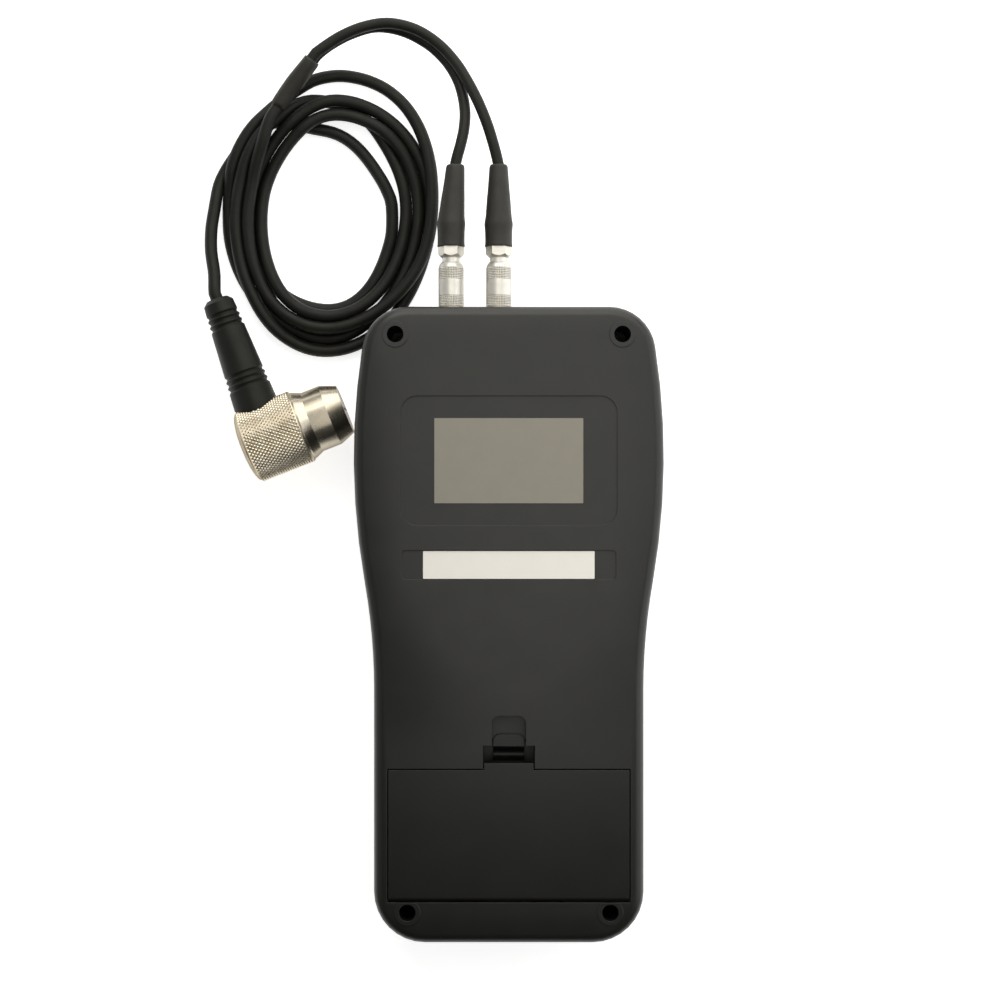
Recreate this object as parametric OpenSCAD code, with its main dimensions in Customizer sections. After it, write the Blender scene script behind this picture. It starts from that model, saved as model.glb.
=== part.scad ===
// Ultrasonic thickness gauge with a right-angle dual probe on a coiled cable.
// The gauge lies face down: its front face is on the table at z = 0, its back cover is on top.
// The origin is the middle of the housing's footprint, +Y points to the sockets and +Z up.

/* [Housing] */
// Length of the housing
body_l = 150; // [144:1:160]
// Width of the housing on each side of the battery cover
grip_side = 3.5; // [3.2:0.1:4.5]
// How far each side swells out from the grip to the greatest width, beside the rating label
bulge_out = 4.8; // [4:0.2:6]
// Depth from the front face to the back face
body_h = 32; // [31.5:0.5:35]
// Depth of the front cover, up to the parting line
front_h = 11; // [10.5:0.25:12]
// Wall thickness of both covers
wall = 2; // [1.8:0.1:2.2]
// Radius of the two corners at the battery end
low_corner_r = 12; // [11:0.5:14]
// Radius of the two corners at the socket end
top_corner_r = 11; // [10.5:0.5:13]
// Rounding of the back cover's edge
back_edge_r = 2.4; // [2:0.1:3]
// Rounding of the front cover's edge
front_edge_r = 4; // [3.5:0.25:5]
// How far the front cover's sides lean in from the parting line to the rounding
front_taper = 1.8; // [1.4:0.1:2.2]
// Bevel on each cover at the parting line
parting_bevel = 0.3; // [0.2:0.05:0.5]

/* [Back face] */
// Width of the rating label's recess
rating_recess_w = 51; // [46:0.5:54]
// Length of the rating label's recess
rating_recess_l = 30.5; // [26:0.5:32]
// Corner radius of the rating label's recess
rating_recess_r = 4; // [2:0.5:6]
// Distance of the rating label's middle from the socket end
rating_from_top = 36.4; // [34:0.2:38]
// Width of the serial label's recess
serial_recess_w = 50.4; // [46:0.2:54]
// Edge of the serial label's recess along the label
serial_margin = 0.2; // [0.1:0.05:0.5]
// Corner radius of the serial label's recess
serial_recess_r = 1; // [0.5:0.1:1.5]
// Distance of the serial label's middle from the socket end
serial_from_top = 60.9; // [59:0.2:63]
// Depth of both label recesses
recess_d = 0.4; // [0.3:0.05:0.6]
// Width of the rating label
rating_label_w = 35; // [32:0.5:40]
// Length of the rating label
rating_label_l = 20; // [18:0.5:24]
// Width of the serial label
serial_label_w = 40.3; // [38:0.1:44]
// Length of the serial label
serial_label_l = 6.5; // [6:0.1:6.6]
// Thickness of both labels
label_t = 0.15; // [0.1:0.05:0.25]

/* [Housing screws] */
// Side distance of the two screws at the socket end
top_screw_x = 26.7; // [26:0.1:27]
// Distance of those screws from the socket end
top_screw_inset = 6.7; // [6.5:0.1:7]
// Side distance of the two screws at the battery end
low_screw_x = 23.85; // [23:0.05:24.5]
// Distance of those screws from the battery end
low_screw_inset = 7.4; // [7.2:0.1:7.6]
// Gap round a screw's head in its bore in the back cover
screw_well_gap = 0.15; // [0.1:0.05:0.2]
// Width of the raised ring around each bore
screw_ring_w = 1.1; // [0.9:0.05:1.2]
// Height of that ring
screw_ring_h = 0.3; // [0.2:0.05:0.4]
// Diameter of a screw's head
screw_head_d = 3.6; // [3.4:0.1:3.7]
// Height of a screw's head
screw_head_h = 1.6; // [1.4:0.1:2]
// Diameter of a screw's shank
screw_d = 2.2; // [2:0.1:2.4]
// Length of a screw's shank
screw_l = 8; // [6:0.5:9]
// Thickness of the back cover under a screw's head
screw_seat_t = 2.5; // [2:0.1:3]

/* [Battery bay] */
// Diameter of an AA cell
cell_d = 14.5; // [14:0.1:14.6]
// Length of an AA cell with its contact nub
cell_l = 50.5; // [49.5:0.1:50.7]
// Room in the bay along a cell for its spring and contacts
contact_room = 4.1; // [3.6:0.1:4.6]
// Width of the ledges at both sides that the battery cover lies on
ledge_x = 1; // [0.8:0.1:1.3]
// Width of the ledges at its hinge edge and latch edge
ledge_y = 0.6; // [0.5:0.05:0.8]
// Distance of the battery cover's hinge edge from the battery end
door_inset = 10.1; // [9.8:0.1:10.4]
// Gap under the battery cover on its ledges
door_seat_gap = 0.15; // [0.1:0.05:0.3]
// Gap all round the battery cover
door_gap = 0.3; // [0.2:0.05:0.35]
// Wall thickness of the battery bay
bay_wall = 2; // [1.8:0.1:2.1]
// Width of the two hooks at the hinge edge
hook_w = 7; // [5:0.5:9]
// Side distance of the hooks
hook_x = 9; // [7:0.5:12]

/* [Battery latch] */
// Width of the spring loop and of its thumb lip
loop_w = 7.4; // [6.8:0.1:8]
// How far the latch tongue stands out on each side of the loop
latch_shoulder = 2.1; // [1.5:0.1:2.6]
// How far the tongue stands out from the battery cover's edge
latch_root_l = 1.6; // [1.4:0.1:1.8]
// Thickness of the spring loop
loop_t = 1.2; // [1:0.1:1.3]
// Clear width inside the loop
loop_gap = 3.8; // [3.6:0.1:3.9]
// Depth of the loop below the back face
loop_h = 10; // [9:0.5:10.5]
// Length of the thumb lip
lip_l = 2.8; // [2.4:0.1:3]
// Length of the finger dish past the latch slot
dish_l = 7; // [6.5:0.1:8]
// Depth of the finger dish
dish_d = 3.2; // [2.8:0.1:3.4]
// Radius of the finger dish's far corners
dish_r = 1.7; // [1:0.1:2.4]

/* [Display] */
// Width of the window
window_w = 54; // [52:0.5:55]
// Length of the window
window_l = 40; // [38:0.5:42]
// Thickness of the window
window_t = 1.2; // [1:0.1:1.4]
// Edge that the window is glued down on, at its sides
window_margin_x = 4; // [3:0.25:6]
// Edge that the window is glued down on, at its ends
window_margin_y = 3.5; // [3:0.25:5]
// Distance of the window's middle from the socket end
window_from_top = 32; // [31.5:0.5:34]

/* [Keys] */
// Width of a key
key_w = 12; // [10:0.5:13]
// Length of a key
key_l = 7.6; // [6.5:0.1:8.5]
// Corner radius of a key
key_r = 2; // [1:0.1:3]
// Gap between the keys side by side
key_gap_x = 5; // [4:0.25:5.5]
// Gap between the rows of keys
key_gap_y = 3.9; // [3.4:0.1:4.4]
// Distance of the first row's middle from the window
keys_from_window = 11; // [10.8:0.1:12]
// How far a key goes down
key_travel = 0.8; // [0.5:0.1:0.9]
// Depth of the recess that the keys lie in
keypad_d = 0.8; // [0.6:0.1:0.9]

/* [Test disc] */
// Diameter of the steel test disc
disc_d = 20; // [16:0.5:22]
// Thickness of the steel test disc
disc_t = 4; // [3:0.25:5]

/* [Circuit board] */
// Thickness of the circuit board
board_t = 1.6; // [1.2:0.1:2]
// Gap between the display's frame and the board
board_gap = 0.9; // [0.4:0.1:1.5]
// Diameter of a board screw's shank
board_screw_d = 1.8; // [1.6:0.1:2]

/* [Sockets and plugs] */
// Height of the sockets' axis over the parting line
socket_rise = 6; // [5.6:0.1:7.5]
// Side place of the middle between the two sockets
sockets_x = -8.15; // [-10:0.05:8]
// Distance between the two sockets
socket_pitch = 11.5; // [11:0.1:14]
// Wall of a socket's barrel
socket_wall = 0.95; // [0.8:0.05:1.1]
// How far a socket's flange stands out round its barrel
socket_flange_out = 0.6; // [0.4:0.05:1]
// Thickness of a socket's flange
socket_flange_t = 0.8; // [0.6:0.05:0.9]
// Bore of a socket
socket_bore_d = 5.1; // [4.9:0.05:5.2]
// Wall of a plug's latch sleeve
sleeve_wall = 0.55; // [0.5:0.01:0.75]
// Length of a plug's latch sleeve
sleeve_l = 10.8; // [10:0.1:12]
// How far the latch sleeve pulls back
sleeve_travel = 0.8; // [0.5:0.1:0.8]
// Width across the corners of a plug's collet nut
nut_d = 6.3; // [6.1:0.05:6.6]
// Length of the collet nut's hexagon
nut_l = 2.6; // [2:0.1:3]
// Greatest diameter of a plug's boot
boot_d = 6.66; // [6.4:0.02:7]
// Length of a plug's boot
boot_l = 19.9; // [18:0.1:22]
// Diameter of a plug boot's thin end
boot_end_d = 4.5; // [3.8:0.1:4.8]

/* [Probe] */
// Diameter of the knurled body
probe_d = 18.4; // [17.6:0.1:19]
// Length of the knurled body
probe_l = 14.1; // [13:0.1:16]
// Diameter of the nose
nose_d = 15.3; // [14.2:0.1:16]
// Length of the nose past the knurled body
nose_l = 11.3; // [10.5:0.1:12.5]
// Diameter of the nose at its face
nose_face_d = 12.3; // [11.4:0.1:13]
// Diameter of the two sound elements together
element_d = 9.6; // [8:0.1:10]
// Thickness of the sound barrier between the elements
barrier_t = 0.6; // [0.4:0.1:1]
// Length of the probe's cable boot
probe_boot_l = 27.4; // [25:0.1:30]
// Diameter of that boot at the knurled body
probe_boot_d = 10.9; // [10.2:0.1:11.6]
// Diameter of that boot at the cable
probe_boot_end_d = 7.5; // [7:0.1:8]

/* [Cable] */
// Diameter of the probe cable
cable_d = 3.1; // [2.8:0.1:3.4]
// Diameter of each plug's lead
lead_d = 2.7; // [2.4:0.1:2.8]
// Outside width of the coil
coil_w = 52.6; // [50:0.2:53]
// Outside length of the coil
coil_l = 71.4; // [66:0.2:71.6]
// Height of the coil on the table
coil_h = 6.2; // [5.6:0.1:6.4]
// Wall of the sleeve where the two leads come together
split_wall = 0.6; // [0.4:0.05:0.7]

/* [Hidden] */
$fn = 48;
// Overrun of every cut past the face that it opens
over = 1;
// Gap between pieces that move past each other
move_gap = 0.3;
// Radial gap of a sliding or glued fit
fit_gap = 0.05;
black = [0.23, 0.23, 0.22];
soft_black = [0.16, 0.16, 0.15];
nickel = [0.85, 0.83, 0.78];

// Battery bay and cover: two cells side by side, across the housing
cell_side_gap = 0.3;
cell_end_gap = 0.15;
bay_w = cell_l + contact_room;
bay_l = 2 * cell_d + cell_side_gap + 2 * cell_end_gap;
door_w = bay_w + 2 * ledge_x;
door_l = bay_l + 2 * ledge_y;
door_t = wall - door_seat_gap;

// Outline of the housing: two straight grip sides, a waist arc and a bulge arc on each side
corner_steps = 8;
side_steps = 6;
grip_w = door_w + 2 * grip_side;
bulge_w = grip_w + 2 * bulge_out;
waist_y_share = -0.1033;
bulge_y_share = 0.2633;
bulge_arc_share = 0.536;
waist_y = body_l * waist_y_share;
bulge_y = body_l * bulge_y_share;
side_run = bulge_y - waist_y;
arcs_sum = (bulge_out * bulge_out + side_run * side_run) / (2 * bulge_out);
bulge_r = arcs_sum * bulge_arc_share;
waist_r = arcs_sum - bulge_r;
turn_a = asin(side_run / arcs_sum);
waist_c = [grip_w / 2 + waist_r, waist_y];
bulge_c = [bulge_w / 2 - bulge_r, bulge_y];
top_y = body_l / 2 - top_corner_r;
top_a = asin((top_y - bulge_y) / (bulge_r - top_corner_r));
top_c = [bulge_c.x + (bulge_r - top_corner_r) * cos(top_a), top_y];
low_c = [grip_w / 2 - low_corner_r, low_corner_r - body_l / 2];

// Places of the housing screws
screw_well_d = screw_head_d + 2 * screw_well_gap;
screw_ring_d = screw_well_d + 2 * screw_ring_w;
screw_places = [
    [-top_screw_x, body_l / 2 - top_screw_inset],
    [top_screw_x, body_l / 2 - top_screw_inset],
    [-low_screw_x, low_screw_inset - body_l / 2],
    [low_screw_x, low_screw_inset - body_l / 2]
];
screw_seat_z = front_h + screw_seat_t;

// Places in the battery bay
cell_top_gap = 0.55;
cell_floor_gap = 0.2;
door_y0 = door_inset - body_l / 2;
door_y1 = door_y0 + door_l;
bay_y = (door_y0 + door_y1) / 2;
cell_z = body_h - wall - cell_top_gap - cell_d / 2;
bay_z = cell_z - cell_d / 2 - cell_floor_gap;
cell_y_off = (cell_d + cell_side_gap) / 2;
nub_d = 5;
nub_l = 1;
contact_t = 0.4;
contact_w = 10;
spring_wire_d = 0.7;
spring_turns = 3;
spring_foot_r = 4.2;
spring_tip_r = 2.8;

// Hinge of the battery cover: the rounded edge of the cover is centred on it
hinge_y = door_y0 + door_t / 2;
hinge_z = body_h - door_t / 2;
hook_t = 1.2;
hook_reach = 1.3;
hook_drop = 0.45;
hook_back = 2;
hook_pocket_gap = 0.5;
hook_swing = 1.5;

// Latch: a loop that hangs from the tongue and ends in a thumb lip
latch_y = door_y1 + latch_root_l;
loop_lean = 1.2;
latch_w = loop_w + 2 * latch_shoulder;
dish_w = loop_w + 2 * move_gap;
loop_in_y = latch_y + loop_gap;
loop_out_y = loop_in_y + loop_t;
loop_low_z = body_h - loop_h;
loop_mid_y = (latch_y - loop_t + loop_out_y - loop_lean) / 2;
loop_out_r = loop_mid_y - latch_y + loop_t;
lip_drop = 1.6;
lip_z = body_h - lip_drop;
lip_t = 1;
lip_r = 1.6;
slot_w = latch_w + 2 * move_gap;
slot_y1 = loop_in_y + move_gap;
dish_y1 = slot_y1 + dish_l;
dish_z = body_h - dish_d;
dish_floor_t = 1.2;
dish_edge_y = loop_out_y + move_gap;
loop_room = 1.2;
loop_floor_gap = 1.3;
latch_wall = 1.2;

// Labels, display and keys
rating_y = body_l / 2 - rating_from_top;
serial_y = body_l / 2 - serial_from_top;
serial_recess_l = serial_label_l + 2 * serial_margin;
window_y = body_l / 2 - window_from_top;
display_w = window_w - 2 * window_margin_x;
display_l = window_l - 2 * window_margin_y;
window_r = 3;
front_sink = 0.3;
lcd_rim = 2;
lcd_t = 3.6;
lcd_step = 0.8;
lcd_glass_t = 1.6;
key_pitch_x = key_w + key_gap_x;
key_pitch_y = key_l + key_gap_y;
key_y0 = window_y - window_l / 2 - keys_from_window;
key_places = [
    [-key_pitch_x, key_y0], [0, key_y0], [key_pitch_x, key_y0],
    [-key_pitch_x, key_y0 - key_pitch_y], [0, key_y0 - key_pitch_y], [key_pitch_x, key_y0 - key_pitch_y],
    [0, key_y0 - 2 * key_pitch_y]
];
key_rim = 1;
key_flange_t = 0.8;
key_top_z = 0.2;
key_bevel = 0.5;
key_flange_z = wall + move_gap;
key_pressed_z = key_flange_z + key_flange_t + key_travel;
keypad_w = 2 * key_pitch_x + key_w + 5 * key_rim;
keypad_l = 2 * key_pitch_y + key_l + 5 * key_rim;
keypad_y = key_y0 - key_pitch_y;
keypad_r = 4;
mat_t = 0.8;
mat_rim = 1;
dome_d = 6;
disc_y = (keypad_y - keypad_l / 2 - body_l / 2) / 2;
disc_cup = 1.3;

// Circuit board and its four screws
board_inset = 5.5;
board_end_gap = 5.2;
board_screw_x = 21;
board_screw_in = 3;
board_z = wall + lcd_t + board_gap;
board_post_d = 4.6;
board_screw_l = 4;
board_head_d = 3.2;
board_head_h = 1.2;
board_top_y = body_l / 2 - top_screw_inset - board_end_gap;
board_low_y = low_screw_inset - body_l / 2 + board_end_gap;
board_screw_places = [
    [-board_screw_x, window_y - window_l / 2 - board_screw_in],
    [board_screw_x, window_y - window_l / 2 - board_screw_in],
    [-board_screw_x, board_low_y + board_screw_in],
    [board_screw_x, board_low_y + board_screw_in]
];

// Sockets and plugs, measured along their axis from the end wall
socket_z = front_h + socket_rise;
socket_d = socket_bore_d + 2 * socket_wall;
socket_flange_d = socket_d + 2 * socket_flange_out;
socket_depth = 9;
socket_tail_d = 3;
socket_tail_l = 3;
socket_nut_d = 10.4;
socket_nut_t = 2;
plug_nose_l = 6;
socket_play = 0.03;
core_d = socket_bore_d - 2 * socket_play;
sleeve_d = core_d + 2 * sleeve_wall;
neck_d = 4.2;
sleeve_wall_end = 1.4;
sleeve_s0 = socket_flange_t + move_gap;
sleeve_s1 = sleeve_s0 + sleeve_l;
sleeve_end_d = 4.6;
sleeve_bevel = 1.2;
core_s1 = sleeve_s1 - sleeve_wall_end - move_gap;
nut_s0 = sleeve_s1 + sleeve_travel + move_gap;
nut_s1 = nut_s0 + nut_l;
nut_bevel = 0.8;
nut_spigot_d = 4.8;
nut_spigot_l = 4.5;
boot_lip = 0.6;
boot_tip_round = 0.3;
// Profile of a plug's boot: shares of its length, of its fullness over the thin end and of its lean
boot_profile_shares = [
    [0.04, 0.91, 0], [0.18, 0.91, 0], [0.27, 0.98, 0], [0.31, 1, 0.02], [0.36, 0.93, 0.08], [0.45, 0.77, 0.22],
    [0.58, 0.56, 0.42], [0.7, 0.35, 0.62], [0.83, 0.17, 0.82], [0.93, 0.05, 0.95]
];
boot_leans = [1, 0];

// Probe: its axis lies level, and it rests on its knurled body
probe_x = -57.2;
probe_y = 45;
probe_a = 21.5;
probe_edge = 0.5;
probe_crown = 1.7;
crown_steps = 8;
nose_collar_d = 17.2;
nose_collar_l = 0.4;
nose_cone_l = 2.2;
nose_straight_l = 4.8;
spigot_d = 13;
spigot_l = 4;
element_l = 3;
probe_boot_off = -1.9;
probe_boot_lean = -1.3;
rib_l = 1.5;
rib_d = 0.35;
rib_count = 3;
boot_rib_starts = [3.5, 19];
boot_tip_r = 1;
rib_top_share = 0.84;

// Coil: one closed ring of the outer shape of its five turns
coil_c = [-43.8, 101.1];
coil_turn = -5;
coil_hole_c = [-45.2, 99.9];
coil_hole_w = 29.6;
coil_hole_l = 42.6;
coil_steps = 40;
coil_corner_share = 0.13;
// Points of the free stretches of cable
lead_1_points = [
    [-12.8, 110.8, 17], [-12.4, 112.6, 17], [-11.6, 115.5, 16.7], [-10.8, 119.5, 15.8], [-10.6, 124, 14.2],
    [-11.4, 129, 12.4], [-13.1, 133.6, 11], [-16, 137.9, 10], [-20.2, 141.7, 9.2], [-26.2, 144.8, 8.6],
    [-32.6, 145.8, 8.3], [-38.6, 144.2, 8.2], [-43.6, 141.6, 8.2], [-46.9, 139.1, 8.2], [-48, 137.75, 8.2]
];
lead_2_points = [
    [-2.5, 110.8, 17], [-2.9, 112.6, 17], [-3.8, 116, 17], [-5.2, 120.5, 16.6], [-7.3, 125.8, 15.8],
    [-9.9, 131.1, 14.6], [-13, 136.2, 13.2], [-17.2, 140.9, 12.1], [-22.7, 144.5, 11.5], [-29, 146.1, 11.2],
    [-35, 145.4, 11], [-41, 143, 11], [-46.9, 139.1, 11], [-48, 137.75, 11]
];
split_from = [-48.2, 137.5];
split_to = [-56.3, 126.1, 8.2];
split_zs = [8.2, 11];
tail_points = [
    [-66, 117.9, 4.4], [-67.8, 115, 4.4], [-69.8, 111.2, 4.5], [-71.5, 107, 4.6], [-72.7, 102, 4.9],
    [-73.3, 96.8, 5.3], [-73.3, 92, 6.1], [-73, 87.6, 7.2], [-72.5, 83.4, 8.6]
];

function unit(v) = v / norm(v);
function arc(c, r, a0, a1, n, first = 0) =
    [for (i = [first:n]) let (a = a0 + (a1 - a0) * i / n) [c.x + r * cos(a), c.y + r * sin(a)]];
function mirrored(p) = [for (i = [len(p) - 1:-1:0]) [-p[i].x, p[i].y]];
// Right half of the housing outline, drawn in by d, from the battery end to the socket end
function half_outline(d) = concat(
    arc(low_c, low_corner_r - d, -90, 0, corner_steps),
    arc(waist_c, waist_r + d, 180, 180 - turn_a, side_steps),
    arc(bulge_c, bulge_r - d, -turn_a, top_a, side_steps, 1),
    arc(top_c, top_corner_r - d, top_a, 90, corner_steps, 1)
);
function outline(d) = concat(half_outline(d), mirrored(half_outline(d)));
// Outline of a rectangle with round corners about the origin
function round_rect(w, l, r) = let (x = w / 2 - r, y = l / 2 - r) concat(
    arc([x, -y], r, -90, 0, corner_steps), arc([x, y], r, 0, 90, corner_steps),
    arc([-x, y], r, 90, 180, corner_steps), arc([-x, -y], r, 180, 270, corner_steps)
);
function raised(p, z) = [for (q = p) [q.x, q.y, z]];
function way(p, i) = unit(p[min(i + 1, len(p) - 1)] - p[max(i - 1, 0)]);
// Ring of n points about c, square to the direction t
function ring(c, t, r, n) = let (s = unit(cross(t, [0, 0, 1])), u = cross(t, s))
    [for (k = [0:n - 1]) c + r * cos(360 * k / n) * s + r * sin(360 * k / n) * u];

// Solid through a row of rings that have equally many points
module skin(rings) {
    n = len(rings[0]);
    m = len(rings);
    sides = [for (k = [0:m - 2], i = [0:n - 1]) let (j = (i + 1) % n)
        each [[k * n + i, (k + 1) * n + i, k * n + j], [(k + 1) * n + i, (k + 1) * n + j, k * n + j]]];
    polyhedron([for (r = rings) each r],
        concat([[for (i = [0:n - 1]) i]], [[for (i = [n - 1:-1:0]) (m - 1) * n + i]], sides));
}

// The housing outline lofted through levels of height and inset
module loft(levels) {
    skin([for (v = levels) raised(outline(v[1]), v[0])]);
}

// Block with round corners and its underside at z
module slab(w, l, r, z, h) {
    translate([0, 0, z])
        linear_extrude(h)
            polygon(round_rect(w, l, r));
}

module tube(points, d, sides) {
    skin([for (i = [0:len(points) - 1]) ring(points[i], way(points, i), d / 2, sides)]);
}

// Loft that runs past its flat ends and is cut off flat at z0 and z1
module cut_loft(levels, z0, z1) {
    n = len(levels) - 1;
    between = [for (i = [1:n - 1]) levels[i]];
    intersection() {
        loft(concat([2 * levels[0] - levels[1]], between, [2 * levels[n] - levels[n - 1]]));
        translate([-body_l, -body_l, z0])
            cube([2 * body_l, 2 * body_l, z1 - z0]);
    }
}

module front_outer() {
    fillet = [for (i = [0:4]) let (a = 90 - 22.5 * i)
        [front_edge_r * (1 - sin(a)), front_taper + front_edge_r * (1 - cos(a))]];
    cut_loft(concat(fillet, [[front_h - parting_bevel, 0], [front_h, parting_bevel]]), 0, front_h);
}

module front_hollow() {
    inner_r = front_edge_r - wall;
    fillet = [for (i = [0:2]) let (a = 90 - 45 * i)
        [wall + inner_r * (1 - sin(a)), front_taper + wall + inner_r * (1 - cos(a))]];
    cut_loft(concat(fillet, [[front_h, wall], [front_h + over, wall]]), wall, front_h + over);
}

module front_posts() {
    for (p = screw_places)
        translate([p.x, p.y, 0])
            cylinder(d = screw_ring_d, h = front_h);
    for (p = board_screw_places)
        translate([p.x, p.y, 0])
            cylinder(d = board_post_d, h = board_z);
    translate([0, disc_y, 0])
        cylinder(d = disc_d + 2 * disc_cup, h = front_sink + disc_t + disc_cup);
}

module front_cover() {
    color(black)
    difference() {
        front_outer();
        difference() {
            front_hollow();
            front_posts();
        }
        translate([0, window_y, 0]) {
            slab(window_w + 2 * fit_gap, window_l + 2 * fit_gap, window_r, -over, over + front_sink + window_t);
            slab(display_w, display_l, window_r / 2, -over, over + wall + over);
        }
        translate([0, keypad_y, 0])
            slab(keypad_w, keypad_l, keypad_r, -over, over + keypad_d);
        for (p = key_places)
            translate([p.x, p.y, 0])
                slab(key_w + 2 * move_gap, key_l + 2 * move_gap, key_r + move_gap, -over, over + wall + over);
        translate([0, disc_y, -over])
            cylinder(d = disc_d + 2 * fit_gap, h = over + front_sink + disc_t);
        for (p = screw_places)
            translate([p.x, p.y, screw_seat_z - screw_l - move_gap])
                cylinder(d = screw_d + 2 * fit_gap, h = screw_l + over);
        for (p = board_screw_places)
            translate([p.x, p.y, board_z + board_t - board_screw_l - move_gap])
                cylinder(d = board_screw_d + 2 * fit_gap, h = board_screw_l + over);
    }
}

module back_outer() {
    fillet = [for (i = [0:4]) let (a = 22.5 * i)
        [body_h - back_edge_r + back_edge_r * sin(a), back_edge_r * (1 - cos(a))]];
    cut_loft(concat([[front_h, parting_bevel], [front_h + parting_bevel, 0]], fillet), front_h, body_h);
    for (p = screw_places)
        translate([p.x, p.y, body_h - wall])
            cylinder(d = screw_ring_d, h = wall + screw_ring_h);
}

// What stands inside the back cover: screw bosses, battery bay and latch pocket
module back_blocks() {
    for (p = screw_places)
        translate([p.x, p.y, 0])
            cylinder(d = screw_ring_d, h = body_h);
    translate([-bay_w / 2 - bay_wall, bay_y - bay_l / 2 - bay_wall, bay_z - bay_wall])
        cube([bay_w + 2 * bay_wall, bay_l + 2 * bay_wall, body_h]);
    translate([-slot_w / 2 - latch_wall, bay_y, loop_low_z - loop_floor_gap - latch_wall])
        cube([slot_w + 2 * latch_wall, dish_edge_y + loop_room + latch_wall - bay_y, body_h]);
    translate([-dish_w / 2 - latch_wall, bay_y, dish_z - dish_floor_t])
        cube([dish_w + 2 * latch_wall, dish_y1 + latch_wall - bay_y, body_h]);
}

module latch_cuts() {
    pocket_z = loop_low_z - loop_floor_gap;
    translate([-slot_w / 2, bay_y, pocket_z])
        cube([slot_w, slot_y1 - bay_y, body_h]);
    translate([-dish_w / 2, bay_y, pocket_z])
        cube([dish_w, dish_edge_y - bay_y, body_h]);
    translate([-dish_w / 2, bay_y, pocket_z])
        cube([dish_w, dish_edge_y + loop_room - bay_y, dish_z - dish_floor_t - pocket_z]);
    translate([0, 0, dish_z])
        linear_extrude(body_h)
            polygon(concat(
                [[-dish_w / 2, bay_y], [dish_w / 2, bay_y]],
                arc([dish_w / 2 - dish_r, dish_y1 - dish_r], dish_r, 0, 90, corner_steps),
                arc([dish_r - dish_w / 2, dish_y1 - dish_r], dish_r, 90, 180, corner_steps)
            ));
}

module back_cover() {
    color(black)
    difference() {
        back_outer();
        difference() {
            translate([0, 0, front_h - over])
                linear_extrude(body_h - wall - front_h + over)
                    polygon(outline(wall));
            back_blocks();
        }
        translate([-bay_w / 2, bay_y - bay_l / 2, bay_z])
            cube([bay_w, bay_l, body_h]);
        translate([-door_w / 2 - door_gap, door_y0 - door_gap, body_h - wall])
            cube([door_w + 2 * door_gap, door_l + 2 * door_gap, wall + over]);
        for (x = [-hook_x, hook_x])
            translate([x - hook_w / 2 - move_gap, door_y0 - hook_reach - hook_pocket_gap,
                    body_h - wall - hook_drop - hook_t - hook_swing])
                cube([hook_w + 2 * move_gap, hook_reach + hook_pocket_gap + ledge_y + over,
                    hook_drop + hook_t + hook_swing]);
        latch_cuts();
        translate([0, rating_y, 0])
            slab(rating_recess_w, rating_recess_l, rating_recess_r, body_h - recess_d, recess_d + over);
        translate([0, serial_y, 0])
            slab(serial_recess_w, serial_recess_l, serial_recess_r, body_h - recess_d, recess_d + over);
        for (p = screw_places)
            translate([p.x, p.y, 0]) {
                translate([0, 0, screw_seat_z])
                    cylinder(d = screw_well_d, h = body_h);
                translate([0, 0, front_h - over])
                    cylinder(d = screw_d + 2 * move_gap, h = screw_seat_t + 2 * over);
            }
        for (i = [1, 2])
            at_socket(i)
                translate([0, 0, -wall - over])
                    cylinder(d = socket_d + 2 * fit_gap, h = wall + 2 * over);
    }
}

// A screw whose head sits at z, pointing down
module screw(head_d, head_h, shank_d, shank_l) {
    slot_t = head_d / 6;
    slot_w = head_d / 2;
    difference() {
        union() {
            cylinder(d = head_d, h = head_h);
            translate([0, 0, -shank_l])
                cylinder(d = shank_d, h = shank_l + head_h / 2);
        }
        for (a = [0, 90])
            rotate(a)
                translate([-slot_w / 2, -slot_t / 2, head_h / 2])
                    cube([slot_w, slot_t, head_h]);
    }
}

module housing_screws() {
    color(nickel)
    for (p = screw_places)
        translate([p.x, p.y, screw_seat_z])
            screw(screw_head_d, screw_head_h, screw_d, screw_l);
}

module display_window() {
    color([0.5, 0.55, 0.55])
    translate([0, window_y, 0])
        slab(window_w, window_l, window_r - fit_gap, front_sink, window_t);
}

// Frame of the display: it lies on the front cover's floor, behind the opening
module lcd_frame() {
    w = display_w + 2 * lcd_rim;
    l = display_l + 2 * lcd_rim;
    color([0.6, 0.6, 0.6])
    translate([0, window_y, wall])
    difference() {
        slab(w, l, lcd_rim, 0, lcd_t);
        translate([0, 0, lcd_step])
            slab(w - lcd_rim, l - lcd_rim, lcd_rim / 2, 0, lcd_glass_t);
        slab(w - 2 * lcd_rim - lcd_rim, l - 2 * lcd_rim - lcd_rim, lcd_rim / 2, -over, over + lcd_t / 2);
    }
}

module lcd_glass() {
    w = display_w + lcd_rim;
    l = display_l + lcd_rim;
    color([0.62, 0.66, 0.58])
    translate([0, window_y, wall])
        slab(w - 2 * fit_gap, l - 2 * fit_gap, lcd_rim / 2, lcd_step, lcd_glass_t);
}

module keypad_mat() {
    dome_z = key_pressed_z + move_gap;
    color([0.7, 0.7, 0.68])
    difference() {
        union() {
            translate([0, keypad_y, 0])
                slab(keypad_w - 2 * mat_rim, keypad_l - 2 * mat_rim, keypad_r, board_z - mat_t, mat_t);
            for (p = key_places)
                translate([p.x, p.y, dome_z])
                    cylinder(d = dome_d, h = board_z - mat_t / 2 - dome_z);
        }
        for (p = key_places)
            translate([p.x, p.y, board_z - mat_t])
                cylinder(d = dome_d - 2 * mat_t, h = mat_t + over);
    }
}

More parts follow.
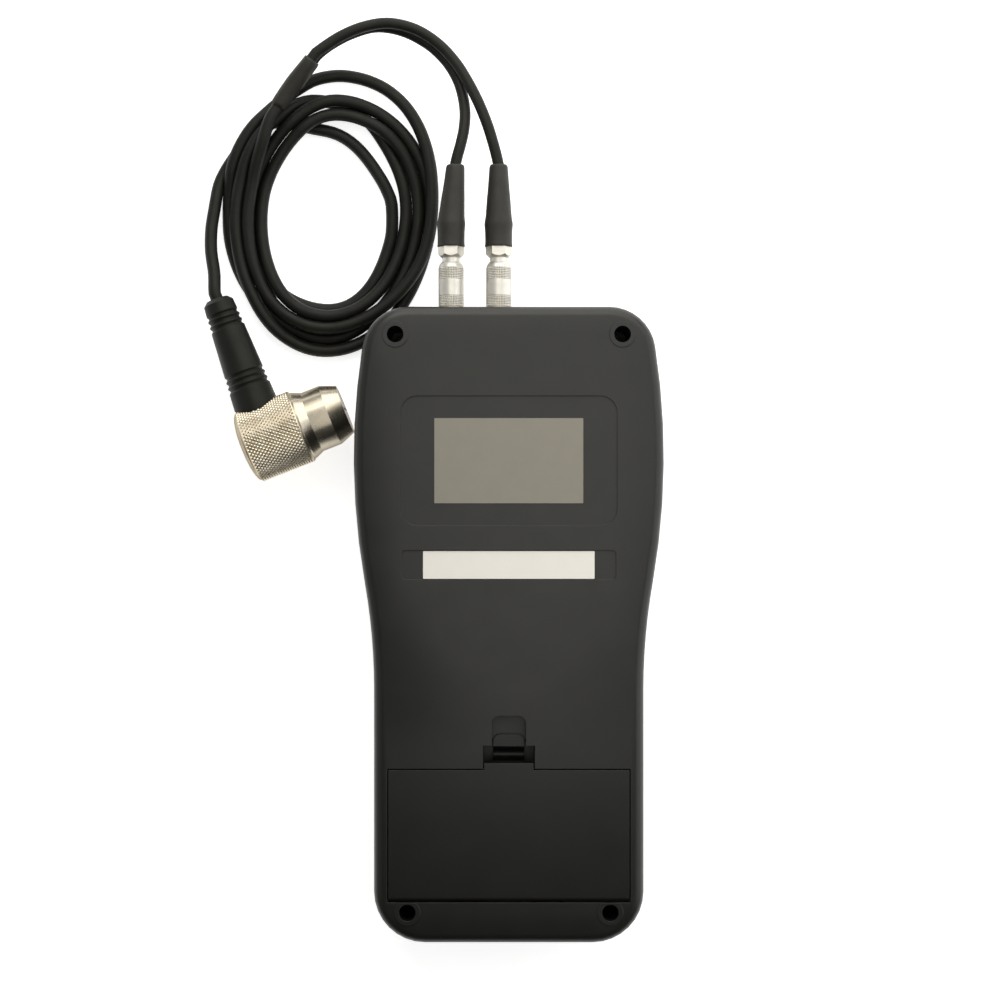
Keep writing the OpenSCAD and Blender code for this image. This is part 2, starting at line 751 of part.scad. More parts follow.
// A key: its cap shows through the front cover and its flange is behind it
module key(i) {
    p = key_places[i - 1];
    color(i == 7 ? "firebrick" : "lightgray")
    translate([p.x, p.y, 0]) {
        skin([
            raised(round_rect(key_w - 2 * key_bevel, key_l - 2 * key_bevel, key_r - key_bevel / 2), key_top_z),
            raised(round_rect(key_w, key_l, key_r), key_top_z + key_bevel),
            raised(round_rect(key_w, key_l, key_r), key_flange_z + key_flange_t / 2)
        ]);
        slab(key_w + 2 * key_rim, key_l + 2 * key_rim, key_r + key_rim, key_flange_z, key_flange_t);
    }
}

module circuit_board() {
    color("darkgreen")
    difference() {
        intersection() {
            translate([0, 0, board_z])
                linear_extrude(board_t)
                    polygon(outline(board_inset));
            translate([-body_l / 2, board_low_y, 0])
                cube([body_l, board_top_y - board_low_y, body_h]);
        }
        for (p = board_screw_places)
            translate([p.x, p.y, board_z - over])
                cylinder(d = board_screw_d + 2 * fit_gap, h = board_t + 2 * over);
    }
}

module board_screws() {
    color(nickel)
    for (p = board_screw_places)
        translate([p.x, p.y, board_z + board_t])
            screw(board_head_d, board_head_h, board_screw_d, board_screw_l);
}

// Side view of the latch: tongue, hanging loop and thumb lip, as [y, z]
function latch_profile() = let (mid_z = loop_low_z + loop_out_r, in_r = loop_out_r - loop_t)
    concat(
        [[latch_y, body_h], [door_y1 - loop_t, body_h], [door_y1 - loop_t, body_h - door_t],
            [latch_y - loop_t, body_h - door_t]],
        arc([loop_mid_y, mid_z], loop_out_r, 180, 360, corner_steps),
        [[loop_out_y, lip_z - lip_t], [loop_out_y, lip_z], [loop_in_y, lip_z]],
        arc([loop_mid_y, mid_z], in_r, 360, 180, corner_steps)
    );

module battery_cover() {
    color(black)
    union() {
        translate([-door_w / 2, hinge_y, body_h - door_t])
            cube([door_w, door_y1 - hinge_y, door_t]);
        translate([-door_w / 2, hinge_y, hinge_z])
            rotate([0, 90, 0])
                cylinder(d = door_t, h = door_w);
        for (x = [-hook_x, hook_x])
            translate([x - hook_w / 2, 0, body_h - wall - hook_drop - hook_t]) {
                translate([0, door_y0 - hook_reach, 0])
                    cube([hook_w, hook_reach + door_t / 2 + hook_back, hook_t]);
                translate([0, hinge_y, 0])
                    cube([hook_w, hook_back, hook_t + hook_drop + wall - door_t / 2]);
            }
        translate([-latch_w / 2, door_y1 - loop_t, body_h - door_t])
            cube([latch_w, latch_root_l + loop_t, door_t]);
        translate([-loop_w / 2, 0, 0])
            rotate([90, 0, 90])
                linear_extrude(loop_w)
                    polygon(latch_profile());
        translate([0, 0, lip_z - lip_t])
            linear_extrude(lip_t)
                polygon(concat(
                    [[-loop_w / 2, loop_in_y], [loop_w / 2, loop_in_y]],
                    arc([loop_w / 2 - lip_r, loop_in_y + lip_l - lip_r], lip_r, 0, 90, corner_steps),
                    arc([lip_r - loop_w / 2, loop_in_y + lip_l - lip_r], lip_r, 90, 180, corner_steps)
                ));
    }
}

// Cell 1 is next to the latch with its nub to the left, cell 2 lies the other way round
module battery_cell(i) {
    turn = i == 1 ? 1 : -1;
    color("orange")
    translate([-turn * (bay_w / 2 - contact_t), bay_y + turn * cell_y_off, cell_z])
        rotate([0, turn * 90, 0]) {
            cylinder(d = nub_d, h = nub_l + over);
            translate([0, 0, nub_l])
                cylinder(d = cell_d, h = cell_l - nub_l);
        }
}

// Contact plates at both ends of the bay: one joins the cells, two lead out
module battery_contacts() {
    color(nickel)
    for (turn = [1, -1]) {
        translate([turn == 1 ? -bay_w / 2 : bay_w / 2 - contact_t,
                bay_y + turn * cell_y_off - contact_w / 2, cell_z - contact_w / 2])
            cube([contact_t, contact_w, contact_w]);
        translate([turn == 1 ? bay_w / 2 - contact_t : -bay_w / 2,
                bay_y + turn * cell_y_off - contact_w / 2, cell_z - contact_w / 2])
            cube([contact_t, contact_w, contact_w]);
    }
}

// Cone springs that press on the flat ends of the cells
module battery_springs() {
    steps = 12 * spring_turns;
    room = bay_w - 2 * contact_t - cell_l - spring_wire_d;
    coil = [for (i = [0:steps]) let (t = i / steps, a = 360 * spring_turns * t,
            r = spring_foot_r + (spring_tip_r - spring_foot_r) * t)
        [r * cos(a), r * sin(a), spring_wire_d / 2 + room * t]];
    color(nickel)
    for (turn = [1, -1])
        translate([turn * (bay_w / 2 - contact_t), bay_y + turn * cell_y_off, cell_z])
            rotate([0, -turn * 90, 0])
                tube(coil, spring_wire_d, 6);
}

module test_disc() {
    color("silver")
    translate([0, disc_y, front_sink])
        cylinder(d = disc_d, h = disc_t);
}

module label(y, w, l) {
    translate([0, y, 0])
        slab(w, l, label_t, body_h - recess_d, label_t);
}

module rating_label() {
    color([0.55, 0.53, 0.49])
    label(rating_y, rating_label_w, rating_label_l);
}

module serial_label() {
    color([0.87, 0.86, 0.82])
    label(serial_y, serial_label_w, serial_label_l);
}

function socket_x(i) = sockets_x + (i - 1.5) * socket_pitch;

// Puts a piece on a socket's axis, with its own +Z pointing out of the end wall
module at_socket(i) {
    translate([socket_x(i), body_l / 2, socket_z])
        rotate([-90, 0, 0])
            children();
}

module socket(i) {
    color(nickel)
    at_socket(i)
    difference() {
        union() {
            cylinder(d = socket_flange_d, h = socket_flange_t);
            translate([0, 0, -socket_depth])
                cylinder(d = socket_d, h = socket_depth);
            translate([0, 0, -socket_depth - socket_tail_l])
                cylinder(d = socket_tail_d, h = socket_depth);
        }
        translate([0, 0, -plug_nose_l - move_gap])
            cylinder(d = socket_bore_d, h = plug_nose_l + move_gap + over);
    }
}

module socket_nuts() {
    color(nickel)
    for (i = [1, 2])
        at_socket(i)
            translate([0, 0, -wall - socket_nut_t])
                difference() {
                    cylinder(d = socket_nut_d, h = socket_nut_t, $fn = 6);
                    translate([0, 0, -over])
                        cylinder(d = socket_d + 2 * fit_gap, h = socket_nut_t + 2 * over);
                }
}

module plug_body(i) {
    color(nickel)
    at_socket(i) {
        translate([0, 0, -plug_nose_l])
            cylinder(d = core_d - fit_gap, h = plug_nose_l + core_s1);
        cylinder(d = neck_d, h = nut_s0);
    }
}

// The latch sleeve slides on the plug's core and is closed round its neck
module latch_sleeve(i) {
    color(nickel)
    at_socket(i)
        rotate_extrude()
            polygon([
                [core_d / 2 + fit_gap / 2, sleeve_s0], [sleeve_d / 2, sleeve_s0],
                [sleeve_d / 2, sleeve_s1 - sleeve_bevel], [sleeve_end_d / 2, sleeve_s1],
                [neck_d / 2 + fit_gap, sleeve_s1], [neck_d / 2 + fit_gap, sleeve_s1 - sleeve_wall_end],
                [core_d / 2 + fit_gap / 2, sleeve_s1 - sleeve_wall_end]
            ]);
}

module collet_nut(i) {
    color(nickel)
    at_socket(i)
    union() {
        intersection() {
            translate([0, 0, nut_s0])
                cylinder(d = nut_d, h = nut_l, $fn = 6);
            rotate_extrude()
                polygon([
                    [0, nut_s0], [nut_d / 2 - nut_bevel, nut_s0], [nut_d / 2, nut_s0 + nut_bevel],
                    [nut_d / 2, nut_s1], [0, nut_s1]
                ]);
        }
        translate([0, 0, nut_s1])
            cylinder(d = nut_spigot_d, h = nut_spigot_l);
    }
}

// Shrink boot over the collet nut's spigot: it narrows towards the lead and may lean
module plug_boot(i) {
    lean = boot_leans[i - 1];
    stations = concat(
        [[0, boot_d - boot_tip_round, 0], [boot_lip / 2, boot_d, 0]],
        [for (v = boot_profile_shares)
            [boot_l * v[0], boot_end_d + (boot_d - boot_end_d) * v[1], lean * v[2]]],
        [[boot_l - boot_tip_round, boot_end_d, lean], [boot_l, boot_end_d - 2 * boot_tip_round, lean]]
    );
    color(soft_black)
    difference() {
        skin([for (v = stations)
            ring([socket_x(i) + v[2], body_l / 2 + nut_s1 + v[0], socket_z], [0, 1, 0], v[1] / 2, 24)]);
        at_socket(i)
            translate([0, 0, nut_s1 - over])
                cylinder(d = nut_spigot_d, h = nut_spigot_l + over);
    }
}

module lead(points) {
    color(soft_black)
    tube(points, lead_d, 8);
}

// Shrink sleeve: two leads go in at the high end, the cable comes out at the low end
module split_sleeve() {
    along = unit([split_to.x - split_from.x, split_to.y - split_from.y, 0]);
    r = lead_d / 2 + split_wall;
    start = [for (z = split_zs) [split_from.x, split_from.y, z]];
    color(soft_black)
    hull() {
        for (c = start)
            skin([ring(c, along, r, 16), ring(c + split_wall * along, along, r, 16)]);
        skin([ring(split_to - split_wall * along, along, r, 16), ring(split_to, along, r, 16)]);
    }
}

function coil_station(a) =
    let (c = coil_corner_share, h = coil_h,
        p = [coil_hole_c.x + coil_hole_w / 2 * cos(a), coil_hole_c.y + coil_hole_l / 2 * sin(a)],
        b = a - coil_turn,
        u = [coil_w / 2 * cos(b), coil_l / 2 * sin(b)],
        q = [coil_c.x + u.x * cos(coil_turn) - u.y * sin(coil_turn),
            coil_c.y + u.x * sin(coil_turn) + u.y * cos(coil_turn)])
    [for (v = [[c, 1], [1 - c, 1], [1, 1 - c], [1, c], [1 - c, 0], [c, 0], [0, c], [0, 1 - c]])
        [p.x + (q.x - p.x) * v[0], p.y + (q.y - p.y) * v[0], h * v[1]]];

module cable_coil() {
    n = 8;
    m = coil_steps;
    color(soft_black)
    polyhedron([for (k = [0:m - 1]) each coil_station(360 * k / m)],
        [for (k = [0:m - 1], i = [0:n - 1]) let (j = (i + 1) % n, e = (k + 1) % m)
            each [[k * n + i, e * n + i, k * n + j], [e * n + i, e * n + j, k * n + j]]]);
}

// Puts a piece on the probe's axis, with its own +Z pointing to the nose
module at_probe() {
    translate([probe_x, probe_y, probe_d / 2])
        rotate([0, 0, probe_a])
            rotate([0, 90, 0])
                children();
}

// Puts a piece on the axis of the probe's cable boot, with its own +Z pointing to the cable
module at_boot() {
    translate([probe_x, probe_y, probe_d / 2])
        rotate([0, 0, probe_a])
            translate([probe_boot_off, 0, 0])
                rotate([-90, 0, probe_boot_lean])
                    children();
}

boot_far = probe_d / 2 + probe_boot_l;
boot_way = [-sin(probe_a + probe_boot_lean), cos(probe_a + probe_boot_lean), 0];
boot_far_at = [probe_x + probe_boot_off * cos(probe_a), probe_y + probe_boot_off * sin(probe_a), probe_d / 2]
    + boot_far * boot_way;

module cable_tail() {
    color(soft_black)
    tube(concat(tail_points, [for (s = [cable_d / 2, move_gap]) boot_far_at + s * boot_way]), cable_d, 8);
}

// Radius of the probe's cable boot at a distance from its cable end, without ribs
function boot_r(s) = probe_boot_end_d / 2 + (probe_boot_d - probe_boot_end_d) / 2 * s / probe_boot_l;

module probe_boot() {
    root = probe_d / 2;
    grooves = [for (s0 = boot_rib_starts, k = [0:rib_count - 1]) s0 + k * rib_l];
    profile = concat(
        [[0, boot_far], [boot_r(0) - boot_tip_r, boot_far], [boot_r(0), boot_far - boot_tip_r]],
        [for (s = grooves) each [
            [boot_r(s), boot_far - s],
            [boot_r(s) - rib_d, boot_far - s - rib_l / 3],
            [boot_r(s) - rib_d, boot_far - s - rib_l / 2],
            [boot_r(s + rib_l), boot_far - s - rib_l * rib_top_share]
        ]],
        [[probe_boot_d / 2, root], [probe_boot_d / 2, 0], [0, 0]]
    );
    color(soft_black)
    difference() {
        at_boot()
            rotate_extrude()
                polygon(profile);
        at_probe()
            translate([0, 0, -probe_d])
                cylinder(d = probe_d, h = 2 * probe_d);
    }
}

module probe_body() {
    r = probe_d / 2;
    flat = r - probe_edge;
    crown = [for (k = [1:crown_steps]) let (a = 90 * k / crown_steps) [flat * sin(a), -probe_crown * cos(a)]];
    color(nickel)
    at_probe()
    difference() {
        translate([0, 0, -probe_l / 2])
            rotate_extrude()
                polygon(concat([[0, crown[0].y]], crown, [
                    [r, probe_edge], [r, probe_l - probe_edge], [flat, probe_l], [0, probe_l]
                ]));
        translate([0, 0, probe_l / 2 - spigot_l])
            cylinder(d = spigot_d + 2 * fit_gap, h = spigot_l + over);
    }
}

module probe_nose() {
    straight_s = nose_collar_l + nose_cone_l;
    color(nickel)
    at_probe()
    translate([0, 0, probe_l / 2])
    difference() {
        rotate_extrude()
            polygon([
                [0, move_gap - spigot_l], [spigot_d / 2, move_gap - spigot_l], [spigot_d / 2, 0],
                [nose_collar_d / 2, 0], [nose_collar_d / 2, nose_collar_l],
                [nose_d / 2, straight_s], [nose_d / 2, straight_s + nose_straight_l],
                [nose_face_d / 2, nose_l], [0, nose_l]
            ]);
        translate([0, 0, nose_l - element_l])
            cylinder(d = element_d, h = element_l + over);
    }
}

module probe_elements() {
    color([0.75, 0.6, 0.35])
    at_probe()
    translate([0, 0, probe_l / 2 + nose_l - element_l])
    difference() {
        cylinder(d = element_d - 2 * fit_gap, h = element_l);
        translate([-element_d, -barrier_t / 2, -over])
            cube([2 * element_d, barrier_t, element_l + 2 * over]);
    }
}

module probe_barrier() {
    w = sqrt(element_d * element_d - barrier_t * barrier_t) - 2 * fit_gap;
    color([0.25, 0.2, 0.15])
    at_probe()
    translate([-w / 2, -barrier_t / 2, probe_l / 2 + nose_l - element_l])
        cube([w, barrier_t, element_l]);
}

front_cover();
back_cover();
housing_screws();
display_window();
lcd_frame();
lcd_glass();
keypad_mat();
key(1);  // key_1
key(2);  // key_2
key(3);  // key_3
key(4);  // key_4
key(5);  // key_5
key(6);  // key_6
key(7);  // key_7
circuit_board();
board_screws();
battery_cover();
battery_cell(1);  // battery_cell_1
battery_cell(2);  // battery_cell_2
battery_contacts();
battery_springs();
test_disc();
rating_label();
serial_label();
socket(1);  // socket_1
socket(2);  // socket_2
socket_nuts();
plug_body(1);  // plug_body_1
plug_body(2);  // plug_body_2
latch_sleeve(1);  // latch_sleeve_1
latch_sleeve(2);  // latch_sleeve_2
collet_nut(1);  // collet_nut_1
collet_nut(2);  // collet_nut_2
plug_boot(1);  // plug_boot_1
plug_boot(2);  // plug_boot_2
lead(lead_1_points);  // lead_1
lead(lead_2_points);  // lead_2
split_sleeve();
cable_coil();
cable_tail();
probe_boot();
probe_body();
probe_nose();
probe_elements();
probe_barrier();
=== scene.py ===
import math

import bmesh
import bpy
import numpy as np
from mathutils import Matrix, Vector


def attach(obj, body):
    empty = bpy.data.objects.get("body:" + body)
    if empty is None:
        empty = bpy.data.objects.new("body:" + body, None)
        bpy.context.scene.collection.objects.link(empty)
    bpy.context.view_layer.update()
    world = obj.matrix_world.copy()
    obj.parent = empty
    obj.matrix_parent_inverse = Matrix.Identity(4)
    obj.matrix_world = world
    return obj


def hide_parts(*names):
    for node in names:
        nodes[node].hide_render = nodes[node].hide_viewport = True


MM = 0.001

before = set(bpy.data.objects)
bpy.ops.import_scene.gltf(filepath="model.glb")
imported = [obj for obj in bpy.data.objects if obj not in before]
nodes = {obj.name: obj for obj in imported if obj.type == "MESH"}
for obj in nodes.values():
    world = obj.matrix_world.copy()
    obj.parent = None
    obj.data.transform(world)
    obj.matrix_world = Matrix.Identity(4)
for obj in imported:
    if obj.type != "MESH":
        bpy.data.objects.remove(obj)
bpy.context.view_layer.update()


# ---------------------------------------------------------------- camera
CAM_X, CAM_Y, CAM_H, CAM_F = -2.07, 29.36, 520.0, 2078.0
cam_data = bpy.data.cameras.new("camera")
cam_data.sensor_width = 36.0
cam_data.lens = CAM_F / 1000 * 36.0
cam_data.clip_start = 0.01
cam = bpy.data.objects.new("camera", cam_data)
cam.location = (CAM_X * MM, CAM_Y * MM, CAM_H * MM)
bpy.context.scene.collection.objects.link(cam)
bpy.context.scene.camera = cam


def at_px(px, py, z):
    """The point in millimetres that the photograph shows at a pixel, at height z."""
    s = CAM_F / (CAM_H - z)
    return (CAM_X + (px - 500) / s, CAM_Y - (py - 500) / s, z)


# ---------------------------------------------------------------- materials
def srgb(r, g, b):
    out = []
    for c in (r, g, b):
        c = c / 255
        out.append(c / 12.92 if c <= 0.04045 else ((c + 0.055) / 1.055) ** 2.4)
    return (*out, 1.0)


class Mat:
    """A node material on the row's own coordinates, with the steps that the pieces share."""

    def __init__(self, name, rough=0.5, metallic=0.0, spec=0.5, coat=0.0, coat_rough=0.1):
        self.mat = bpy.data.materials.new(name)
        self.mat.use_nodes = True
        self.nt = self.mat.node_tree
        self.bsdf = self.nt.nodes["Principled BSDF"]
        self.bsdf.inputs["Roughness"].default_value = rough
        self.bsdf.inputs["Metallic"].default_value = metallic
        self.bsdf.inputs["Specular IOR Level"].default_value = spec
        self.bsdf.inputs["Coat Weight"].default_value = coat
        self.bsdf.inputs["Coat Roughness"].default_value = coat_rough
        self.coord = self.nt.nodes.new("ShaderNodeTexCoord").outputs["Object"]
        self.last_normal = None

    def link(self, a, b):
        self.nt.links.new(a, b)

    def noise(self, scale, detail=2.0, rough=0.5, coord=None):
        n = self.nt.nodes.new("ShaderNodeTexNoise")
        n.inputs["Scale"].default_value = scale
        n.inputs["Detail"].default_value = detail
        n.inputs["Roughness"].default_value = rough
        self.link(coord or self.coord, n.inputs["Vector"])
        return n.outputs["Fac"]

    def stretched(self, scale, rotation=(0, 0, 0)):
        m = self.nt.nodes.new("ShaderNodeMapping")
        m.inputs["Scale"].default_value = scale
        m.inputs["Rotation"].default_value = rotation
        self.link(self.coord, m.inputs["Vector"])
        return m.outputs["Vector"]

    def ramp(self, fac, stops):
        r = self.nt.nodes.new("ShaderNodeValToRGB")
        els = r.color_ramp.elements
        while len(els) < len(stops):
            els.new(0.5)
        for e, (p, c) in zip(els, stops):
            e.position = p
            e.color = c
        self.link(fac, r.inputs["Fac"])
        return r.outputs["Color"]

    def span(self, fac, lo, hi, a, b):
        m = self.nt.nodes.new("ShaderNodeMapRange")
        m.inputs["From Min"].default_value = lo
        m.inputs["From Max"].default_value = hi
        m.inputs["To Min"].default_value = a
        m.inputs["To Max"].default_value = b
        self.link(fac, m.inputs["Value"])
        return m.outputs["Result"]

    def colour(self, c):
        self.bsdf.inputs["Base Color"].default_value = c
        return self

    def vary(self, c1, c2, scale, detail=3.0, lo=0.35, hi=0.65, coord=None):
        self.link(self.ramp(self.noise(scale, detail, coord=coord), [(lo, c1), (hi, c2)]),
                  self.bsdf.inputs["Base Color"])
        return self

    def rough(self, a, b, scale, detail=3.0, coord=None):
        self.link(self.span(self.noise(scale, detail, coord=coord), 0.3, 0.7, a, b),
                  self.bsdf.inputs["Roughness"])
        return self

    def round_edges(self, radius_mm):
        b = self.nt.nodes.new("ShaderNodeBevel")
        b.samples = 4
        b.inputs["Radius"].default_value = radius_mm * MM
        self.last_normal = b.outputs["Normal"]
        self.link(self.last_normal, self.bsdf.inputs["Normal"])
        return self

    def bump(self, height, depth_mm, strength=1.0):
        b = self.nt.nodes.new("ShaderNodeBump")
        b.inputs["Distance"].default_value = depth_mm * MM
        b.inputs["Strength"].default_value = strength
        self.link(height, b.inputs["Height"])
        if self.last_normal is not None:
            self.link(self.last_normal, b.inputs["Normal"])
        self.last_normal = b.outputs["Normal"]
        self.link(self.last_normal, self.bsdf.inputs["Normal"])
        return self


def spark_plastic(name, dark, light, rough, spec, grain_mm=0.22, depth=0.012):
    """Black moulded plastic: a spark-eroded grain, soft clouds of tone, and small glossy rubbed spots."""
    m = Mat(name, rough=rough, spec=spec)
    m.vary(dark, light, 90, 4)
    m.rough(rough - 0.025, rough + 0.03, 160, 4)
    m.round_edges(0.18)
    m.bump(m.noise(1000 / grain_mm, 2), depth, 0.6)
    return m.mat


housing = spark_plastic("housing_plastic", srgb(23, 23, 21), srgb(25, 25, 23), 0.37, 0.5)
door_plastic = spark_plastic("door_plastic", srgb(21, 21, 20), srgb(23, 23, 22), 0.39, 0.46)

cable_m = Mat("cable_jacket", rough=0.5, spec=0.24)
cable_m.vary(srgb(22, 22, 19), srgb(26, 26, 22), 220, 3)
cable_m.rough(0.46, 0.56, 300, 3)
cable_m.bump(cable_m.noise(2600, 2), 0.004, 0.4)

boot_m = Mat("shrink_sleeve", rough=0.55, spec=0.4)
boot_m.vary(srgb(37, 36, 32), srgb(43, 42, 37), 240, 3)
boot_m.rough(0.5, 0.62, 350, 3)
boot_m.bump(boot_m.noise(1800, 3), 0.01, 0.5)

probe_boot_m = Mat("moulded_boot", rough=0.46, spec=0.24)
probe_boot_m.vary(srgb(24, 25, 21), srgb(28, 29, 25), 200, 3)
probe_boot_m.rough(0.42, 0.54, 260, 3)
probe_boot_m.bump(probe_boot_m.noise(1500, 3), 0.012, 0.5)

nickel = Mat("satin_nickel", rough=0.42, metallic=1.0)
nickel.vary(srgb(220, 217, 208), srgb(230, 227, 219), 400, 3)
nickel.rough(0.38, 0.48, 900, 3)
nickel.bsdf.inputs["Specular Tint"].default_value = (0.5, 0.48, 0.45, 1)

# Darker nickel for the pits of the latch-sleeve knurl: painted shade where the pits lie in shade.
nickel_pit_painted_shade = Mat("knurl_pit_painted_shade", rough=0.5, metallic=1.0)
nickel_pit_painted_shade.vary(srgb(142, 137, 126), srgb(158, 153, 142), 900, 3)

probe_knurl_m = Mat("knurled_nickel", rough=0.3, metallic=1.0)
probe_knurl_m.vary(srgb(222, 209, 184), srgb(238, 228, 207), 350, 3)
probe_knurl_m.rough(0.24, 0.38, 800, 3)
probe_knurl_m.bsdf.inputs["Specular Tint"].default_value = (0.4, 0.36, 0.3, 1)

probe_back_m = Mat("brushed_nickel", rough=0.42, metallic=1.0)
probe_back_m.vary(srgb(186, 175, 153), srgb(204, 193, 171), 420, 3)
probe_back_m.rough(0.36, 0.48, 900, 3)
probe_back_m.bsdf.inputs["Specular Tint"].default_value = (0.4, 0.36, 0.3, 1)

steel_nose = Mat("turned_steel", rough=0.27, metallic=1.0)
steel_nose.vary(srgb(203, 194, 175), srgb(210, 201, 183), 300, 2)
steel_nose.rough(0.24, 0.28, 500, 2)
steel_nose.bsdf.inputs["Specular Tint"].default_value = (0.4, 0.38, 0.34, 1)

steel = Mat("bare_steel", rough=0.35, metallic=1.0)
steel.vary(srgb(150, 148, 142), srgb(176, 174, 168), 600, 3)

dark_screw = Mat("blackened_screw", rough=0.5, metallic=1.0)
dark_screw.vary(srgb(40, 40, 40), srgb(58, 58, 58), 900, 3)

rating = Mat("rating_film", rough=0.42, metallic=0.0, spec=0.45)
rating.vary(srgb(135, 131, 119), srgb(137, 133, 121), 300, 4)
rating.bump(rating.noise(3500, 2), 0.003, 0.3)

serial = Mat("serial_film", rough=0.5)
serial.vary(srgb(237, 234, 226), srgb(239, 236, 228), 260, 4)
serial.bump(serial.noise(3500, 2), 0.003, 0.3)

window = Mat("clear_window", rough=0.06)
window.bsdf.inputs["Base Color"].default_value = (0.9, 0.93, 0.92, 1)
window.bsdf.inputs["Transmission Weight"].default_value = 1.0
window.bsdf.inputs["IOR"].default_value = 1.49

lcd = Mat("lcd_glass", rough=0.15, coat=0.3)
lcd.vary(srgb(132, 142, 124), srgb(142, 151, 134), 60, 2)

white_plastic = Mat("white_plastic", rough=0.5)
white_plastic.vary(srgb(205, 204, 200), srgb(216, 215, 211), 200, 3)

silicone = Mat("grey_silicone", rough=0.6)
silicone.vary(srgb(140, 140, 137), srgb(152, 152, 149), 220, 3)

key_m = Mat("key_plastic", rough=0.45)
key_m.vary(srgb(176, 178, 178), srgb(188, 190, 190), 300, 3)
key_m.bump(key_m.noise(3000, 2), 0.006, 0.5)

red_key = Mat("red_key_plastic", rough=0.45)
red_key.vary(srgb(160, 30, 26), srgb(176, 38, 32), 300, 3)
red_key.bump(red_key.noise(3000, 2), 0.006, 0.5)

board_m = Mat("board_laminate", rough=0.35)
board_m.vary(srgb(20, 74, 38), srgb(28, 88, 48), 700, 4)

cell_m = Mat("cell_sleeve", rough=0.3, coat=0.4)
cell_m.vary(srgb(168, 104, 48), srgb(184, 118, 58), 120, 3)

element_m = Mat("wear_face", rough=0.35)
element_m.vary(srgb(150, 128, 92), srgb(166, 142, 104), 700, 4)

barrier_m = Mat("cork_barrier", rough=0.8)
barrier_m.vary(srgb(74, 54, 38), srgb(104, 80, 58), 3000, 4)


def give(mat, *names):
    for n in names:
        o = nodes[n]
        o.data.materials.clear()
        o.data.materials.append(mat)


give(housing, "front_cover", "back_cover")
give(door_plastic, "battery_cover")
give(dark_screw.mat, "housing_screws")
give(steel.mat, "board_screws", "test_disc", "battery_contacts", "battery_springs")
give(nickel.mat, "socket_1", "socket_2", "socket_nuts", "plug_body_1", "plug_body_2",
     "latch_sleeve_1", "latch_sleeve_2", "collet_nut_1", "collet_nut_2")
give(steel_nose.mat, "probe_nose")
give(probe_knurl_m.mat, "probe_body")
give(window.mat, "display_window")
give(lcd.mat, "lcd_glass")
give(white_plastic.mat, "lcd_frame")
give(silicone.mat, "keypad_mat")
give(key_m.mat, "key_1", "key_2", "key_3", "key_4", "key_5", "key_6")
give(red_key.mat, "key_7")
give(board_m.mat, "circuit_board")
give(cell_m.mat, "battery_cell_1", "battery_cell_2")
give(rating.mat, "rating_label")
give(serial.mat, "serial_label")
give(boot_m.mat, "plug_boot_1", "plug_boot_2", "split_sleeve")
give(probe_boot_m.mat, "probe_boot")
give(cable_m.mat, "lead_1", "lead_2", "cable_coil", "cable_tail")
give(element_m.mat, "probe_elements")
give(barrier_m.mat, "probe_barrier")


def smooth_shading(name, degrees=32):
    """Joins the facets of a CAD mesh for shading, and keeps its true edges sharp."""
    o = nodes[name]
    o.data.polygons.foreach_set("use_smooth", [True] * len(o.data.polygons))
    w = o.modifiers.new("weld", "WELD")
    w.merge_threshold = 2e-6
    e = o.modifiers.new("edges", "EDGE_SPLIT")
    e.split_angle = math.radians(degrees)
    e.use_edge_sharp = False


smooth_shading("probe_nose", 15)
for n in ("back_cover", "front_cover", "battery_cover", "collet_nut_1", "collet_nut_2", "probe_boot", "plug_body_1", "plug_body_2", "socket_1", "socket_2", "key_1", "key_2", "key_3",
          "key_4", "key_5", "key_6", "key_7", "test_disc", "battery_springs"):
    smooth_shading(n)


# ---------------------------------------------------------------- shared mesh helpers
def mesh_object(name, verts, faces, mat, body="gauge", smooth=True):
    me = bpy.data.meshes.new(name)
    me.from_pydata([tuple(c * MM for c in v) for v in verts], [], faces)
    me.update()
    me.polygons.foreach_set("use_smooth", [smooth] * len(me.polygons))
    me.materials.append(mat)
    o = bpy.data.objects.new(name, me)
    bpy.context.scene.collection.objects.link(o)
    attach(o, body)
    return o


def grid_faces(rows, cols, closed=True):
    faces = []
    for i in range(rows - 1):
        for j in range(cols if closed else cols - 1):
            k = (j + 1) % cols
            faces.append((i * cols + j, i * cols + k, (i + 1) * cols + k, (i + 1) * cols + j))
    return faces


def basis(origin, along, up=(0, 0, 1)):
    a = Vector(along).normalized()
    s = a.cross(Vector(up)).normalized()
    u = s.cross(a)
    return Vector(origin), a, s, u


def smooth_line(points, step):
    """A round line through the points, resampled evenly at about the step, in millimetres."""
    p = np.array(points, float)
    p = np.vstack([2 * p[0] - p[1], p, 2 * p[-1] - p[-2]])
    out = []
    for i in range(1, len(p) - 2):
        a, b, c, d = p[i - 1:i + 3]
        for t in np.linspace(0, 1, 24, endpoint=False):
            out.append(0.5 * (2 * b + (c - a) * t + (2 * a - 5 * b + 4 * c - d) * t ** 2
                              + (3 * b - a - 3 * c + d) * t ** 3))
    out.append(p[-2])
    out = np.array(out)
    s = np.concatenate([[0], np.cumsum(np.linalg.norm(np.diff(out, axis=0), axis=1))])
    n = max(2, int(round(s[-1] / step)) + 1)
    t = np.linspace(0, s[-1], n)
    return np.stack([np.interp(t, s, out[:, k]) for k in range(3)], axis=1)


def line_length(p):
    return float(np.linalg.norm(np.diff(p, axis=0), axis=1).sum())


def cable_object(name, line, d, mat):
    cu = bpy.data.curves.new(name, "CURVE")
    cu.dimensions = "3D"
    sp = cu.splines.new("POLY")
    sp.points.add(len(line) - 1)
    sp.points.foreach_set("co", np.hstack([line * MM, np.ones((len(line), 1))]).ravel())
    sp.use_smooth = True
    cu.bevel_depth = d / 2 * MM
    cu.bevel_resolution = 5
    cu.use_fill_caps = True
    cu.materials.append(mat)
    o = bpy.data.objects.new(name, cu)
    bpy.context.scene.collection.objects.link(o)
    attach(o, "gauge")
    return o


